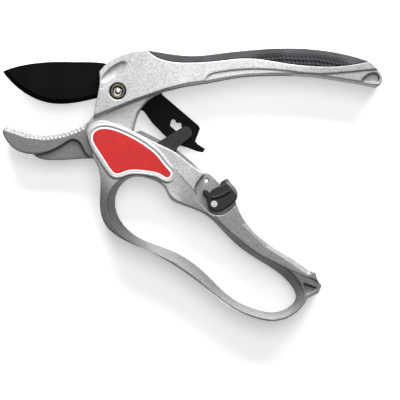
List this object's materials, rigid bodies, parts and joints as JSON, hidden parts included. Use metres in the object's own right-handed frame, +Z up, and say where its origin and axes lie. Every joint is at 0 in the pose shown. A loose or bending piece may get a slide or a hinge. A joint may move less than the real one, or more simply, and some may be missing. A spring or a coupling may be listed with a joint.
{
  "type": "pruning shears",
  "caption": "Ratchet anvil pruning shears with a coated blade, serrated anvil, finger guard loop, rubber-backed upper handle and thumb lock.",
  "frame": {"origin": "centre of the outline of the open shears, on the surface that they lie on", "axes": "+X from the jaws to the handle ends, +Y from the finger guard to the upper handle, +Z up through the thickness"},
  "size_m": [0.2132, 0.1526, 0.019],
  "materials": {
    "silver_casting": "fine-grained metallic paint on a die casting",
    "grip_rubber": "ribbed soft rubber",
    "blade_coating": "black non-stick coating",
    "pivot_steel": "bright steel",
    "dark_steel": "dark burnished steel",
    "bronze": "plain bearing bronze",
    "spring_steel": "drawn wire",
    "label_red": "gloss domed label",
    "lock_plastic": "satin moulded nylon"
  },
  "bodies": {
    "frame": {"frame_casting": "silver_casting", "grip_inlay": "grip_rubber", "pivot_bolt": "pivot_steel", "pivot_nut": "pivot_steel", "pivot_bushing": "bronze", "pivot_washers": "spring_steel", "web_bushing": "bronze", "return_spring": "spring_steel"},
    "blade": {"blade": "blade_coating"},
    "lower_handle": {"lower_handle": "silver_casting", "label_front": "label_red", "label_back": "label_red", "handle_pivot_pin": "pivot_steel", "link_pin": "dark_steel", "lock_rivet": "pivot_steel", "lock_washers": "spring_steel", "link_spring": "spring_steel"},
    "ratchet_link": {"ratchet_link": "dark_steel", "ratchet_pin": "dark_steel"},
    "lock_lever": {"lock_lever": "lock_plastic"}
  },
  "joints": [
    {"name": "handle_hinge", "type": "hinge", "parent": "frame", "child": "lower_handle", "pos_m": [-0.0492, 0.02562, 0.0095], "axis": [0, 0, 1], "range_deg": [0, 38], "stiffness_Nm_per_rad": 0.8, "springref_deg": -22.92, "deforming": ["return_spring"]},
    {"name": "blade_hinge", "type": "hinge", "parent": "frame", "child": "blade", "pos_m": [-0.0414, 0.05212, 0.0095], "axis": [0, 0, 1], "range_deg": [0, 30.1]},
    {"name": "link_hinge", "type": "hinge", "parent": "lower_handle", "child": "ratchet_link", "pos_m": [-0.0148, 0.01532, 0.0095], "axis": [0, 0, 1], "range_deg": [-37.4, 0]},
    {"name": "lock_hinge", "type": "hinge", "parent": "lower_handle", "child": "lock_lever", "pos_m": [0.0125, -0.01078, 0.0095], "axis": [0, 0, 1], "range_deg": [0, 12]}
  ],
  "couplings": [
    {"joint": "blade_hinge", "follows": "handle_hinge", "ratio": 0.79},
    {"joint": "link_hinge", "follows": "handle_hinge", "ratio": -0.98}
  ]
}
